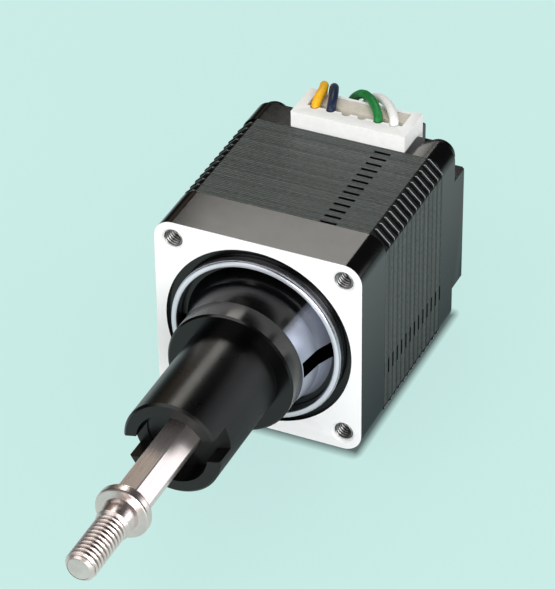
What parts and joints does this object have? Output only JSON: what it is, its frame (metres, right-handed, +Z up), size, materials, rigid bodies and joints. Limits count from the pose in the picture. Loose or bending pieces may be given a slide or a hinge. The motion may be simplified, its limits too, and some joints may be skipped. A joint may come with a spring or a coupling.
{
  "type": "linear actuator",
  "caption": "Captive linear stepper actuator: square laminated motor, black guide sleeve, hexagonal shaft with a threaded stud, and a top connector with leads.",
  "frame": {"origin": "centre of the front mounting face, on the shaft axis", "axes": "-Y is the way the output shaft points, +Z is up through the connector, and +X is to the right seen from the front"},
  "size_m": [0.0401, 0.1096, 0.0313],
  "materials": {
    "black_cap": "black coated casting, bare machined front face and pilot ring",
    "sleeve_plastic": "moulded black, half gloss",
    "coated_sheet": "punched electrical sheet, black, sheet edges showing",
    "insulator_plastic": "moulded",
    "enamelled_copper": "wound enamelled wire",
    "screw_steel": "plated",
    "bearing_steel": "ground",
    "cage_plastic": "moulded",
    "white_nylon": "moulded, slightly translucent",
    "natural_nylon": "moulded, slightly translucent",
    "tinned_pin": "tin plated",
    "board_laminate": "glass-filled laminate",
    "yellow_insulation": "smooth wire insulation",
    "navy_insulation": "smooth wire insulation",
    "green_insulation": "smooth wire insulation",
    "white_insulation": "smooth wire insulation",
    "tie_plastic": "moulded",
    "shaft_steel": "polished stainless",
    "nut_plastic": "moulded",
    "core_sheet": "punched electrical sheet",
    "plated_magnet": "nickel plated"
  },
  "bodies": {
    "motor": {"front_cap": "black_cap", "anti_rotation_sleeve": "sleeve_plastic", "stator_core": "coated_sheet", "front_insulator": "insulator_plastic", "rear_insulator": "insulator_plastic", "coil_windings": "enamelled_copper", "rear_cap": "black_cap", "through_screws": "screw_steel", "front_bearing_outer_ring": "bearing_steel", "rear_bearing_outer_ring": "bearing_steel", "wave_washer": "screw_steel", "connector_header": "white_nylon", "connector_plug": "natural_nylon", "header_pins": "tinned_pin", "plug_contacts": "tinned_pin", "terminal_board": "board_laminate", "lead_wire_yellow": "yellow_insulation", "lead_wire_navy": "navy_insulation", "lead_wire_green": "green_insulation", "lead_wire_white": "white_insulation", "lead_coil": "navy_insulation", "lead_tie": "tie_plastic"},
    "rotor": {"rotor_hub": "shaft_steel", "rotor_nut": "nut_plastic", "rotor_front_core": "core_sheet", "rotor_magnet": "plated_magnet", "rotor_rear_core": "core_sheet", "front_bearing_inner_ring": "bearing_steel", "rear_bearing_inner_ring": "bearing_steel"},
    "front_ball_set": {"front_bearing_balls": "bearing_steel", "front_bearing_cage": "cage_plastic"},
    "rear_ball_set": {"rear_bearing_balls": "bearing_steel", "rear_bearing_cage": "cage_plastic"},
    "shaft": {"output_shaft": "shaft_steel", "lead_screw": "shaft_steel", "join_pin": "shaft_steel", "stop_ring": "shaft_steel"}
  },
  "joints": [
    {"name": "shaft_travel", "type": "slide", "parent": "motor", "child": "shaft", "axis": [0, 1, 0], "range_m": [0, 0.0127]},
    {"name": "rotor_turn", "type": "hinge", "parent": "motor", "child": "rotor", "pos_m": [0, 0.01676, 0], "axis": [0, -1, 0], "continuous": true},
    {"name": "front_balls_turn", "type": "hinge", "parent": "motor", "child": "front_ball_set", "pos_m": [0, 0.005, 0], "axis": [0, -1, 0], "continuous": true},
    {"name": "rear_balls_turn", "type": "hinge", "parent": "motor", "child": "rear_ball_set", "pos_m": [0, 0.02851, 0], "axis": [0, -1, 0], "continuous": true}
  ],
  "couplings": [
    {"joint": "rotor_turn", "follows": "shaft_travel", "rad_per_m": 2473.7},
    {"joint": "front_balls_turn", "follows": "shaft_travel", "rad_per_m": 989.48},
    {"joint": "rear_balls_turn", "follows": "shaft_travel", "rad_per_m": 989.48}
  ]
}
